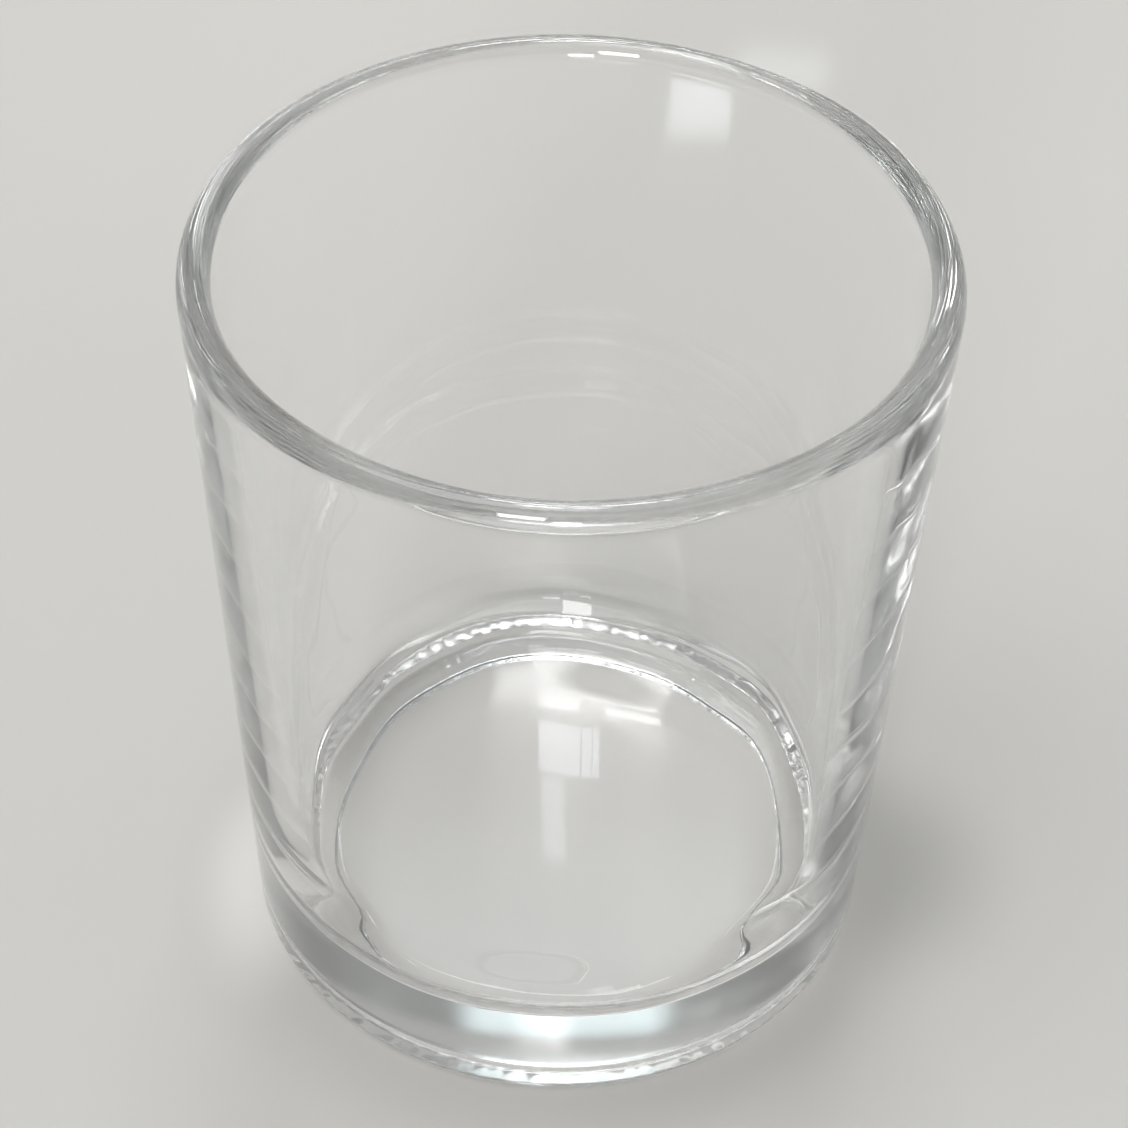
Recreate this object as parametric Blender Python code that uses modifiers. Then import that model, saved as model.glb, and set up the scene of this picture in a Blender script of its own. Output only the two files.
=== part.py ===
"""Empty candle jar: one pressed clear-glass tumbler with a rounded lip and a thick foot.

The jar is a single piece of glass. Its section is drawn once, from the middle of the cavity
floor, up the inner wall, over the lip, down the outer wall and back under the foot to the
axis, and is turned about +Z. The origin is at the centre of the surface that the jar stands on.
Units are metres.
"""

import math

import bpy

# Driving dimensions
HEIGHT = 0.0800
RIM_DIAMETER = 0.0700
BASE_DIAMETER = 0.0622  # where the tapered wall would meet the ground
LIP_THICKNESS = 0.0030
LIP_HEIGHT = 0.0022  # the lip's rounding is taller than it is wide
WALL_AT_FLOOR = 0.0042  # the wall grows thicker on its way down
FLOOR_THICKNESS = 0.0080
FLOOR_FILLET = 0.0045
HEEL_RADIUS = 0.0015
PUNT_DIAMETER = 0.0500  # inner edge of the ring that the jar stands on
PUNT_DEPTH = 0.0004  # the flat punt is reached by a rounded step of this height

# Fineness of the solid
TURN_STEPS = 72
LIP_STEPS = 12
FILLET_STEPS = 8
HEEL_STEPS = 4
STEP_STEPS = 3
SHARP_ANGLE = math.radians(35)
MERGE_DISTANCE = 0.00001

# Material
GLASS_COLOUR = (0.93, 0.97, 0.95, 1.0)
GLASS_IOR = 1.52


def outer_radius(height):
    """Radius of the straight tapered outside at a height above the ground."""
    return (BASE_DIAMETER + (RIM_DIAMETER - BASE_DIAMETER) * height / HEIGHT) / 2


def ellipse(centre, half_width, half_height, start, end, steps):
    """Points of an elliptical arc in the section plane, as (radius, height), both ends included."""
    points = []
    for i in range(steps + 1):
        angle = math.radians(start + (end - start) * i / steps)
        radius = centre[0] + half_width * math.cos(angle)
        height = centre[1] + half_height * math.sin(angle)
        points.append((radius, height))
    return points


def cavity_floor():
    """The flat floor and the fillet where it turns up into the wall."""
    top = FLOOR_THICKNESS + FLOOR_FILLET
    middle = outer_radius(top) - WALL_AT_FLOOR - FLOOR_FILLET
    fillet = ellipse((middle, top), FLOOR_FILLET, FLOOR_FILLET, -90, 0, FILLET_STEPS)
    return [(0.0, FLOOR_THICKNESS)] + fillet


def lip():
    """The fire-polished lip, from the inner wall over the top to the outer wall."""
    half = LIP_THICKNESS / 2
    centre = (RIM_DIAMETER / 2 - half, HEIGHT - LIP_HEIGHT)
    return ellipse(centre, half, LIP_HEIGHT, 180, 0, LIP_STEPS)


def foot():
    """The rounded heel and the flat ring that the jar stands on."""
    centre = (outer_radius(HEEL_RADIUS) - HEEL_RADIUS, HEEL_RADIUS)
    return ellipse(centre, HEEL_RADIUS, HEEL_RADIUS, 0, -90, HEEL_STEPS)


def punt():
    """The rounded step inside the standing ring, then the flat punt up to the axis."""
    middle = PUNT_DIAMETER / 2 - PUNT_DEPTH
    step = ellipse((middle, 0.0), PUNT_DEPTH, PUNT_DEPTH, 0, 90, STEP_STEPS)
    return step + [(0.0, PUNT_DEPTH)]


def clear_scene():
    for old in list(bpy.data.objects):
        bpy.data.objects.remove(old)


def glass_material():
    material = bpy.data.materials.new("clear_glass")
    material.use_nodes = True
    shader = material.node_tree.nodes["Principled BSDF"]
    shader.inputs["Base Color"].default_value = GLASS_COLOUR
    shader.inputs["Metallic"].default_value = 0.0
    shader.inputs["Roughness"].default_value = 0.02
    shader.inputs["IOR"].default_value = GLASS_IOR
    shader.inputs["Transmission Weight"].default_value = 1.0
    return material


def turned(name, section, collection):
    """A closed solid made by turning a section about +Z."""
    profile = bpy.data.meshes.new(name + "_section")
    points = [(radius, 0.0, height) for radius, height in section]
    edges = [(i, i + 1) for i in range(len(points) - 1)]
    profile.from_pydata(points, edges, [])
    piece = bpy.data.objects.new(name, profile)
    collection.objects.link(piece)

    screw = piece.modifiers.new("turn", "SCREW")
    screw.axis = "Z"
    screw.angle = 2 * math.pi
    screw.steps = TURN_STEPS
    screw.render_steps = TURN_STEPS
    screw.use_merge_vertices = True
    screw.merge_threshold = MERGE_DISTANCE

    graph = bpy.context.evaluated_depsgraph_get()
    solid = bpy.data.meshes.new_from_object(piece.evaluated_get(graph))
    piece.modifiers.clear()
    piece.data = solid
    solid.name = name
    bpy.data.meshes.remove(profile)
    solid.shade_smooth()
    solid.set_sharp_from_angle(angle=SHARP_ANGLE)
    return piece


def build():
    clear_scene()
    collection = bpy.data.collections.new("candle_jar")
    bpy.context.scene.collection.children.link(collection)
    section = cavity_floor() + lip() + foot() + punt()
    jar = turned("glass_jar", section, collection)
    jar.data.materials.append(glass_material())


build()
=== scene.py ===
"""Visual model and studio of the empty candle jar.

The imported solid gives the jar's height, rim and place. The glass is turned again here with a much finer
section, and with the small faults that pressed glass has: a wavy inner wall, a fillet that isn't quite
round, a slightly uneven lip and a rippled standing ring. Units are metres, +Z is up.
"""

import math

import bpy
import numpy as np
from mathutils import Matrix, Vector


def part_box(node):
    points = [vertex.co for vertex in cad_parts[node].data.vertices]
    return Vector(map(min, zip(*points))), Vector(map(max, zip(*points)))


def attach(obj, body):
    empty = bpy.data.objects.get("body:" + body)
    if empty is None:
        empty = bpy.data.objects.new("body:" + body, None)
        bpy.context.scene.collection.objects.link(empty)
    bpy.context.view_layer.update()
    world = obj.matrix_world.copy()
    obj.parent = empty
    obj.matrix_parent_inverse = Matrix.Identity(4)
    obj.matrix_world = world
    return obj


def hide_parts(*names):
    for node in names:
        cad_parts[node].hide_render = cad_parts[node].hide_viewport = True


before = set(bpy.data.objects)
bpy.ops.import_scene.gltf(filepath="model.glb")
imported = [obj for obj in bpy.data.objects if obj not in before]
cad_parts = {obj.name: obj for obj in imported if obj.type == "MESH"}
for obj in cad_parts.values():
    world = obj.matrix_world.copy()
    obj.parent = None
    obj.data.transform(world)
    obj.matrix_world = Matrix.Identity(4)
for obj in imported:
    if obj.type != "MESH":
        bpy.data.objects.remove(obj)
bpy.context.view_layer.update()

# ---------------------------------------------------------------- sizes

JAR_LOW, JAR_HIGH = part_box("glass_jar")
HEIGHT = JAR_HIGH.z - JAR_LOW.z
RIM_RADIUS = (JAR_HIGH.x - JAR_LOW.x) / 2
BASE_RADIUS = 0.0311  # where the tapered wall would meet the table
LIP_THICKNESS = 0.0030
LIP_HEIGHT = 0.0022  # the lip's rounding is taller than half its width
WALL_AT_FLOOR = 0.0042
FLOOR_THICKNESS = 0.0080
FLOOR_FILLET = 0.0045
HEEL_RADIUS = 0.0015
PUNT_RADIUS = 0.0250  # inner edge of the ring that the jar stands on
PUNT_DEPTH = 0.0004

# fineness of the glass mesh
TURN_STEPS = 360
FILLET_STEPS = 24
LIP_STEPS = 48
HEEL_STEPS = 12
PUNT_STEPS = 8
WALL_STEP = 0.0012  # longest edge along the section

# faults of pressed glass, as typical shifts of the surface
SEED = 3
WALL_WAVE = 0.00010
FILLET_WAVE = 0.00014
LIP_WAVE = 0.00010
RIDGE = 0.00008
RIDGE_ABOVE_FLOOR = 0.0021
RIDGE_WIDTH = 0.0005
RING_RIPPLE = 0.000025
RIPPLE_TWIST = 9  # leans the standing ring's ripple sideways

# glass
GLASS_COLOUR = (1.0, 1.0, 1.0, 1.0)
GLASS_IOR = 1.52
GLASS_TINT = (0.55, 0.62, 0.60, 1.0)
GLASS_DENSITY = 2.2
PUNT_ROUGHNESS = 0.10
BOUNCES = 44  # far fewer would cut off light that runs round inside the wall, and darken it

# table
TABLE_HALF = 4.0
TABLE_GAP = 0.0002  # between the table and the standing ring
TABLE_ALBEDO = 0.50
TABLE_MOTTLE = 0.06
TABLE_ROUGHNESS = 0.045
TABLE_SPECULAR = 0.05
TABLE_EMIT = 0.147

# soft light from high on the left, in degrees
KEY_AZIMUTH = -115
KEY_ELEVATION = 71
KEY_SIZE = 36
KEY_STRENGTH = 2.8

# colours of the lights
WHITE = (1.0, 1.0, 1.0)
WARM_WHITE = (1.0, 1.0, 0.98)
DAYLIGHT = (0.95, 0.98, 1.0)
PANE = (0.92, 0.97, 1.0)

CAMERA_FOCAL = 2.836879  # focal length in image widths
CAMERA_ELEVATION = 0.7514
CAMERA_ROLL = -0.0249
CAMERA_DISTANCE = 8.8149  # in rim radii
CAMERA_AIM = (-0.0011, 0.0, 1.1973)  # in rim radii
SENSOR_WIDTH = 36
CLIP_START = 0.01


# ---------------------------------------------------------------- glass mesh


def outer_radius(height):
    """Radius of the straight tapered outside at a height above the table."""
    return BASE_RADIUS + (RIM_RADIUS - BASE_RADIUS) * height / HEIGHT


def ellipse(centre, half_width, half_height, start, end, steps):
    """Points of an elliptical arc in the section plane, as (radius, height), both ends included."""
    angles = np.radians(np.linspace(start, end, steps + 1))
    return [
        (centre[0] + half_width * math.cos(a), centre[1] + half_height * math.sin(a))
        for a in angles
    ]


def section():
    """The half section, from the middle of the cavity floor to the middle of the punt."""
    fillet_top = FLOOR_THICKNESS + FLOOR_FILLET
    fillet_middle = outer_radius(fillet_top) - WALL_AT_FLOOR - FLOOR_FILLET
    points = [(0.0, FLOOR_THICKNESS)]
    points += ellipse((fillet_middle, fillet_top), FLOOR_FILLET, FLOOR_FILLET, -90, 0, FILLET_STEPS)

    half_lip = LIP_THICKNESS / 2
    lip_middle = (RIM_RADIUS - half_lip, HEIGHT - LIP_HEIGHT)
    points += ellipse(lip_middle, half_lip, LIP_HEIGHT, 180, 0, LIP_STEPS)

    heel_middle = outer_radius(HEEL_RADIUS) - HEEL_RADIUS
    points += ellipse((heel_middle, HEEL_RADIUS), HEEL_RADIUS, HEEL_RADIUS, 0, -90, HEEL_STEPS)

    points += ellipse((PUNT_RADIUS - PUNT_DEPTH, 0.0), PUNT_DEPTH, PUNT_DEPTH, 0, 90, PUNT_STEPS)
    points.append((0.0, PUNT_DEPTH))
    return points


def densified(points):
    """The same outline with no edge longer than WALL_STEP."""
    dense = [points[0]]
    for (r0, z0), (r1, z1) in zip(points, points[1:]):
        pieces = max(1, math.ceil(math.hypot(r1 - r0, z1 - z0) / WALL_STEP))
        for i in range(1, pieces + 1):
            dense.append((r0 + (r1 - r0) * i / pieces, z0 + (z1 - z0) * i / pieces))
    return dense


def waves(turn, low, high, count, random):
    """A smooth closed wave round the jar, mostly between -1 and 1, of count random harmonics."""
    total = np.zeros_like(turn)
    for _ in range(count):
        cycles = random.integers(low, high + 1)
        total += random.uniform(0.4, 1.0) * np.cos(cycles * turn + random.uniform(0, 2 * math.pi))
    return total / math.sqrt(count)


def ramp(value, low, high):
    """0 below low, 1 above high, smooth between."""
    share = np.clip((value - low) / (high - low), 0.0, 1.0)
    return share * share * (3 - 2 * share)


def faulted(radius, height, turn):
    """Radii and heights with the small faults of pressed glass; none reaches past the solid's box."""
    random = np.random.default_rng(SEED)
    outside = outer_radius(height)
    depth = outside - radius

    # 1 on the surfaces that face the cavity, 0 on the outside
    cavity = ramp(depth, 0.0012, 0.0028) * ramp(height, FLOOR_THICKNESS * 0.8, FLOOR_THICKNESS)

    # the inner wall waves, one way near the floor and another near the lip
    swell = waves(turn, 2, 6, 4, random) + 0.25 * waves(turn, 9, 22, 6, random)
    drift = waves(turn, 2, 9, 5, random)
    along = height / HEIGHT
    wall = cavity * ramp(height, FLOOR_THICKNESS * 1.2, FLOOR_THICKNESS * 2.2)
    wavy = swell * (1 - along) + drift * along
    radius = radius + WALL_WAVE * wall * (wavy - 1.0)

    # the fillet is slightly kinked, with a faint ridge above the floor
    corner = cavity * ramp(radius, 0.018, 0.024) * (1 - ramp(height, 0.013, 0.022))
    kinks = waves(turn, 5, 9, 4, random) + 0.1 * waves(turn, 14, 25, 5, random)
    radius = radius - FILLET_WAVE * corner * (1 + kinks)

    above_floor = height - FLOOR_THICKNESS
    ridge = np.exp(-(((above_floor - RIDGE_ABOVE_FLOOR) / RIDGE_WIDTH) ** 2)) * cavity
    radius = radius - RIDGE * ridge * (1 + 0.7 * waves(turn, 5, 9, 4, random))

    # the lip is a little lower than the solid's, by an uneven amount
    lip = ramp(height, HEIGHT - 2.0 * LIP_HEIGHT, HEIGHT)
    sag = 1 + waves(turn, 2, 7, 4, random) * 0.5
    height = height - LIP_WAVE * lip * np.clip(sag, 0, None)

    # the standing ring is finely rippled
    ring = 1 - ramp(height, 0.0002, 0.0012)
    ring = ring * ramp(radius, PUNT_RADIUS - 0.0002, PUNT_RADIUS + 0.0010)
    twisted = turn + RIPPLE_TWIST * radius / RIM_RADIUS
    ripple = waves(turn, 40, 150, 24, random) + waves(twisted, 60, 170, 24, random)
    height = height + RING_RIPPLE * ring * np.clip(1 + ripple, 0, None)
    return radius, height


def glass_mesh():
    """The section turned once round, with its faults, closed by a fan at each end."""
    outline = densified(section())
    turn = np.linspace(0, 2 * math.pi, TURN_STEPS, endpoint=False)
    rings = outline[1:-1]
    radius = np.array([r for r, z in rings])[:, None] * np.ones(TURN_STEPS)
    height = np.array([z for r, z in rings])[:, None] * np.ones(TURN_STEPS)
    radius, height = faulted(radius, height, turn[None, :] * np.ones_like(radius))
    x = radius * np.cos(turn)
    y = radius * np.sin(turn)
    points = np.stack([x, y, height], axis=2).reshape(-1, 3)
    points[:, 2] += JAR_LOW.z
    top_middle = len(points)
    bottom_middle = top_middle + 1
    ends = [(0.0, 0.0, JAR_LOW.z + outline[0][1]), (0.0, 0.0, JAR_LOW.z + outline[-1][1])]

    faces = []
    for k in range(TURN_STEPS):
        after = (k + 1) % TURN_STEPS
        faces.append((top_middle, k, after))
    for ring in range(len(rings) - 1):
        here = ring * TURN_STEPS
        there = here + TURN_STEPS
        for k in range(TURN_STEPS):
            after = (k + 1) % TURN_STEPS
            faces.append((here + k, there + k, there + after, here + after))
    last = (len(rings) - 1) * TURN_STEPS
    for k in range(TURN_STEPS):
        after = (k + 1) % TURN_STEPS
        faces.append((last + k, bottom_middle, last + after))

    mesh = bpy.data.meshes.new("glass_jar_body")
    mesh.from_pydata(points.tolist() + ends, [], faces)
    mesh.shade_smooth()
    return mesh


# ---------------------------------------------------------------- materials


def glass_material():
    """Clear glass with a faint grey-green cast; the mould leaves the punt slightly rough."""
    material = bpy.data.materials.new("pressed_glass")
    material.use_nodes = True
    tree = material.node_tree
    shader = tree.nodes["Principled BSDF"]
    shader.inputs["Base Color"].default_value = GLASS_COLOUR
    shader.inputs["IOR"].default_value = GLASS_IOR
    shader.inputs["Transmission Weight"].default_value = 1.0

    # 1 on the punt, which is what lies below half the floor and inside the standing ring
    coord = tree.nodes.new("ShaderNodeTexCoord")
    place = tree.nodes.new("ShaderNodeSeparateXYZ")
    tree.links.new(coord.outputs["Object"], place.inputs[0])
    flat = tree.nodes.new("ShaderNodeVectorMath")
    flat.operation = "MULTIPLY"
    flat.inputs[1].default_value = (1, 1, 0)
    tree.links.new(coord.outputs["Object"], flat.inputs[0])
    radius = tree.nodes.new("ShaderNodeVectorMath")
    radius.operation = "LENGTH"
    tree.links.new(flat.outputs["Vector"], radius.inputs[0])

    low = tree.nodes.new("ShaderNodeMath")
    low.operation = "LESS_THAN"
    low.inputs[1].default_value = JAR_LOW.z + FLOOR_THICKNESS / 2
    tree.links.new(place.outputs["Z"], low.inputs[0])
    inside = tree.nodes.new("ShaderNodeMath")
    inside.operation = "LESS_THAN"
    inside.inputs[1].default_value = PUNT_RADIUS - PUNT_DEPTH
    tree.links.new(radius.outputs["Value"], inside.inputs[0])
    punt = tree.nodes.new("ShaderNodeMath")
    punt.operation = "MULTIPLY"
    tree.links.new(low.outputs[0], punt.inputs[0])
    tree.links.new(inside.outputs[0], punt.inputs[1])
    rough = tree.nodes.new("ShaderNodeMath")
    rough.operation = "MULTIPLY"
    rough.inputs[1].default_value = PUNT_ROUGHNESS
    tree.links.new(punt.outputs[0], rough.inputs[0])
    tree.links.new(rough.outputs[0], shader.inputs["Roughness"])

    absorb = tree.nodes.new("ShaderNodeVolumeAbsorption")
    absorb.inputs["Color"].default_value = GLASS_TINT
    absorb.inputs["Density"].default_value = GLASS_DENSITY
    tree.links.new(absorb.outputs[0], tree.nodes["Material Output"].inputs["Volume"])
    return material


def painted_pool(tree, middle, inner, outer, amount, stretch=1.0):
    """A pool painted into the table's glow, painted light where amount is positive and painted shade
    where it is negative: amount inside the inner radius, fading to nothing at the outer one.
    """
    coord = tree.nodes.new("ShaderNodeTexCoord")
    squash = tree.nodes.new("ShaderNodeVectorMath")
    squash.operation = "MULTIPLY"
    squash.inputs[1].default_value = (1.0, 1.0 / stretch, 0.0)
    tree.links.new(coord.outputs["Object"], squash.inputs[0])
    offset = tree.nodes.new("ShaderNodeVectorMath")
    offset.operation = "DISTANCE"
    offset.inputs[1].default_value = (middle[0], middle[1] / stretch, 0.0)
    tree.links.new(squash.outputs["Vector"], offset.inputs[0])
    fade = tree.nodes.new("ShaderNodeMapRange")
    fade.interpolation_type = "SMOOTHERSTEP"
    fade.inputs["From Min"].default_value = inner
    fade.inputs["From Max"].default_value = outer
    fade.inputs["To Min"].default_value = amount
    fade.inputs["To Max"].default_value = 0.0
    tree.links.new(offset.outputs["Value"], fade.inputs["Value"])
    return fade.outputs["Result"]


def table_material():
    """Pale table top. Its glow is painted light and shade, which stands for the light that the room and
    the glass throw on it.
    """
    material = bpy.data.materials.new("pale_table")
    material.use_nodes = True
    tree = material.node_tree
    shader = tree.nodes["Principled BSDF"]
    shader.inputs["Roughness"].default_value = TABLE_ROUGHNESS
    shader.inputs["Specular IOR Level"].default_value = TABLE_SPECULAR
    shader.inputs["Emission Color"].default_value = (1.0, 0.985, 0.95, 1.0)

    mottle = tree.nodes.new("ShaderNodeTexNoise")
    mottle.inputs["Scale"].default_value = 9.0
    mottle.inputs["Detail"].default_value = 6.0
    coord = tree.nodes.new("ShaderNodeTexCoord")
    tree.links.new(coord.outputs["Object"], mottle.inputs["Vector"])
    shade = tree.nodes.new("ShaderNodeMix")
    shade.data_type = "RGBA"
    darker = TABLE_ALBEDO * (1 - TABLE_MOTTLE)
    lighter = TABLE_ALBEDO * (1 + TABLE_MOTTLE)
    shade.inputs["A"].default_value = (darker, 0.98 * darker, 0.95 * darker, 1.0)
    shade.inputs["B"].default_value = (lighter, 0.985 * lighter, 0.95 * lighter, 1.0)
    tree.links.new(mottle.outputs["Fac"], shade.inputs["Factor"])
    tree.links.new(shade.outputs["Result"], shader.inputs["Base Color"])

    # painted light and shade in the table's glow: painted light in the disc under the jar, a painted
    # caustic on its left, a painted shadow on its right, painted shade close behind it and painted light
    # that makes the table lighter far behind
    r = RIM_RADIUS
    pools = [
        painted_pool(tree, (0.10 * r, 0.0), 0.60 * r, 0.95 * r, 0.18),
        painted_pool(tree, (-0.86 * r, -0.12 * r), 0.0, 0.28 * r, 0.20, 2.2),
        painted_pool(tree, (1.00 * r, -0.02 * r), 0.0, 0.50 * r, -0.11, 1.2),
        painted_pool(tree, (0.05 * r, 1.12 * r), 0.0, 0.80 * r, -0.13, 0.28),
        painted_pool(tree, (0.0, 8.0 * r), 0.0, 10.0 * r, 0.08),
    ]
    glow = None
    for pool in pools:
        add = tree.nodes.new("ShaderNodeMath")
        add.operation = "ADD"
        add.inputs[1].default_value = TABLE_EMIT
        if glow:
            tree.links.new(glow, add.inputs[1])
        tree.links.new(pool, add.inputs[0])
        glow = add.outputs[0]
    # the summed glow, with its painted light and shade, drives the table's emission
    tree.links.new(glow, shader.inputs["Emission Strength"])
    return material


# ---------------------------------------------------------------- studio


def direction(azimuth, elevation):
    """Unit vector; azimuth 0 is +Y, away from the camera, and grows towards +X."""
    a, e = math.radians(azimuth), math.radians(elevation)
    return Vector((math.cos(e) * math.sin(a), math.cos(e) * math.cos(a), math.sin(e)))


class Sky:
    """World colour made of a gradient and soft-edged rectangles at given directions."""

    def __init__(self):
        self.world = bpy.data.worlds.new("room")
        bpy.context.scene.world = self.world
        self.world.use_nodes = True
        self.tree = self.world.node_tree
        self.background = self.tree.nodes["Background"]
        self.coord = self.tree.nodes.new("ShaderNodeTexCoord")
        self.colour = None

    def dot(self, axis):
        node = self.tree.nodes.new("ShaderNodeVectorMath")
        node.operation = "DOT_PRODUCT"
        self.tree.links.new(self.coord.outputs["Generated"], node.inputs[0])
        node.inputs[1].default_value = axis
        return node.outputs["Value"]

    def math(self, operation, first, second=None):
        node = self.tree.nodes.new("ShaderNodeMath")
        node.operation = operation
        for socket, value in zip(node.inputs, (first, second)):
            if value is None:
                continue
            if isinstance(value, (int, float)):
                socket.default_value = value
            else:
                self.tree.links.new(value, socket)
        return node.outputs["Value"]

    def step(self, value, low, high):
        """1 below low, 0 above high, smooth between."""
        node = self.tree.nodes.new("ShaderNodeMapRange")
        node.interpolation_type = "SMOOTHSTEP"
        self.tree.links.new(value, node.inputs["Value"])
        node.inputs["From Min"].default_value = low
        node.inputs["From Max"].default_value = high
        node.inputs["To Min"].default_value = 1.0
        node.inputs["To Max"].default_value = 0.0
        return node.outputs["Result"]

    def gradient(self, stops):
        """stops are (height of the unit direction, colour)."""
        shades = self.tree.nodes.new("ShaderNodeValToRGB")
        height = self.math("MULTIPLY_ADD", self.dot((0, 0, 1)), 0.5)
        height.node.inputs[2].default_value = 0.5
        self.tree.links.new(height, shades.inputs["Fac"])
        elements = shades.color_ramp.elements
        while len(elements) < len(stops):
            elements.new(0.5)
        for element, (position, colour) in zip(elements, stops):
            element.position = position * 0.5 + 0.5
            element.color = (*colour, 1.0)
        self.colour = shades.outputs["Color"]

    def panel(self, azimuth, elevation, width, height, soft, colour, strength=1.0, bars=None):
        """A rectangle width by height degrees, over what is there; soft is its edge's width in degrees.

        bars are dark bars across the rectangle: ("across" or "along", place, thickness), in degrees.
        """
        forward = direction(azimuth, elevation)
        side = direction(azimuth + 90, 0)
        up = side.cross(forward)
        ahead = self.dot(forward)
        across = self.math("DIVIDE", self.dot(side), ahead)
        along = self.math("DIVIDE", self.dot(up), ahead)
        edges = []
        for value, size in ((across, width), (along, height)):
            half = math.tan(math.radians(size / 2))
            blur = math.tan(math.radians(soft))
            edges.append(self.step(self.math("ABSOLUTE", value), half - blur / 2, half + blur / 2))
        mask = self.math("MULTIPLY", edges[0], edges[1])
        mask = self.math("MULTIPLY", mask, self.math("GREATER_THAN", ahead, 0.01))
        if bars:
            for value, place, thick in bars:
                source = across if value == "across" else along
                off = self.math("ABSOLUTE", self.math("SUBTRACT", source, math.tan(math.radians(place))))
                thin = math.tan(math.radians(thick))
                bar = self.math("SUBTRACT", 1.0, self.step(off, thin * 0.4, thin * 0.6))
                mask = self.math("MULTIPLY", mask, bar)
        mix = self.tree.nodes.new("ShaderNodeMix")
        mix.data_type = "RGBA"
        self.tree.links.new(mask, mix.inputs["Factor"])
        self.tree.links.new(self.colour, mix.inputs["A"])
        mix.inputs["B"].default_value = (*[c * strength for c in colour], 1.0)
        self.colour = mix.outputs["Result"]

    def finish(self):
        self.tree.links.new(self.colour, self.background.inputs["Color"])


def add_dark_room(sky):
    """The dark ends of the room beside the jar, and whoever stands at the table."""
    sky.panel(-85, 60, 56, 20, 5, (0.19, 0.19, 0.19))
    sky.panel(95, 60, 56, 20, 5, (0.17, 0.17, 0.17))
    sky.panel(172, 55, 66, 9, 4, (0.06, 0.05, 0.055))


def add_lamps(sky):
    """Two small lamps low in front, which the lip shows as highlights, and the light from the left."""
    sky.panel(-169, 20, 11.5, 15, 1, WHITE, 18.0)
    sky.panel(179.5, 5.5, 7, 9, 1, WHITE, 25.0)
    sky.panel(KEY_AZIMUTH, KEY_ELEVATION, KEY_SIZE, KEY_SIZE, 6, WARM_WHITE, KEY_STRENGTH)


def add_upper_panes(sky):
    """The ceiling lamp and the upper panes of the windows behind the jar."""
    sky.panel(0, 88, 9, 6, 2, WARM_WHITE, 25.0)
    sky.panel(4, 69, 12, 4.5, 1.5, DAYLIGHT, 28.0)
    sky.panel(-2.5, 54.8, 24, 12, 5, (0.87, 0.98, 1.0), 1.3)
    sky.panel(-13.5, 58.5, 8, 5, 2.5, (0.9, 0.98, 1.0), 2.0)


def add_lower_panes(sky):
    """The lower panes of the same windows."""
    bars = [("across", 0.3, 0.12), ("across", 1.2, 0.1)]
    sky.panel(1.5, 44.8, 6.5, 1.6, 1.4, WHITE, 8.0)
    sky.panel(1.2, 46.45, 3.7, 0.9, 0.1, PANE, 5.0, bars=bars)
    sky.panel(-0.5, 47.7, 1.1, 1.5, 0.4, DAYLIGHT, 3.5)
    sky.panel(1.9, 44.64, 5.8, 0.25, 0.1, WHITE, 12.0)
    sky.panel(0.0, 45.3, 2.0, 0.8, 0.3, WHITE, 14.0)
    sky.panel(5.4, 45.5, 1.1, 0.45, 0.2, WHITE, 10.0)
    sky.panel(4.4, 34.1, 1.6, 0.6, 0.4, PANE, 10.0)
    sky.panel(3.6, 35.4, 1.9, 1.5, 0.1, PANE, 22.0)


def make_sky():
    sky = Sky()
    sky.gradient([
        (-1.0, (0.20, 0.20, 0.195)),
        (0.15, (0.20, 0.20, 0.195)),
        (0.22, (0.03, 0.03, 0.03)),
        (0.52, (0.05, 0.045, 0.05)),
        (0.60, (0.41, 0.415, 0.405)),
        (0.80, (0.27, 0.28, 0.275)),
        (0.90, (0.34, 0.35, 0.345)),
        (0.97, (0.70, 0.70, 0.69)),
        (1.0, (0.75, 0.75, 0.74)),
    ])
    add_dark_room(sky)
    add_lamps(sky)
    add_upper_panes(sky)
    add_lower_panes(sky)
    sky.finish()


def make_table():
    mesh = bpy.data.meshes.new("table")
    half = TABLE_HALF
    corners = [(-half, -half), (half, -half), (half, half), (-half, half)]
    mesh.from_pydata([(x, y, JAR_LOW.z - TABLE_GAP) for x, y in corners], [], [(0, 1, 2, 3)])
    mesh.materials.append(table_material())
    table = bpy.data.objects.new("table", mesh)
    bpy.context.scene.collection.objects.link(table)


def make_camera():
    look = Vector((0, math.cos(CAMERA_ELEVATION), -math.sin(CAMERA_ELEVATION)))
    up = Vector((0, math.sin(CAMERA_ELEVATION), math.cos(CAMERA_ELEVATION)))
    right = Vector((1, 0, 0))
    cosine, sine = math.cos(CAMERA_ROLL), math.sin(CAMERA_ROLL)
    x_axis = cosine * right - sine * up
    y_axis = sine * right + cosine * up
    place = (Vector(CAMERA_AIM) - look * CAMERA_DISTANCE) * RIM_RADIUS
    data = bpy.data.cameras.new("camera")
    data.sensor_width = SENSOR_WIDTH
    data.lens = CAMERA_FOCAL * data.sensor_width
    data.clip_start = CLIP_START
    camera = bpy.data.objects.new("camera", data)
    bpy.context.scene.collection.objects.link(camera)
    columns = (x_axis, y_axis, -look, place)
    camera.matrix_world = Matrix([[c[i] for c in columns] for i in range(3)] + [[0, 0, 0, 1]])
    bpy.context.scene.camera = camera


# ---------------------------------------------------------------- the scene

jar = bpy.data.objects.new("glass_jar_body", glass_mesh())
bpy.context.scene.collection.objects.link(jar)
jar.data.materials.append(glass_material())
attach(jar, "root")
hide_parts("glass_jar")

make_table()
make_sky()
make_camera()

scene = bpy.context.scene
scene.view_settings.view_transform = "Standard"
scene.cycles.max_bounces = BOUNCES
scene.cycles.glossy_bounces = BOUNCES
scene.cycles.transmission_bounces = BOUNCES
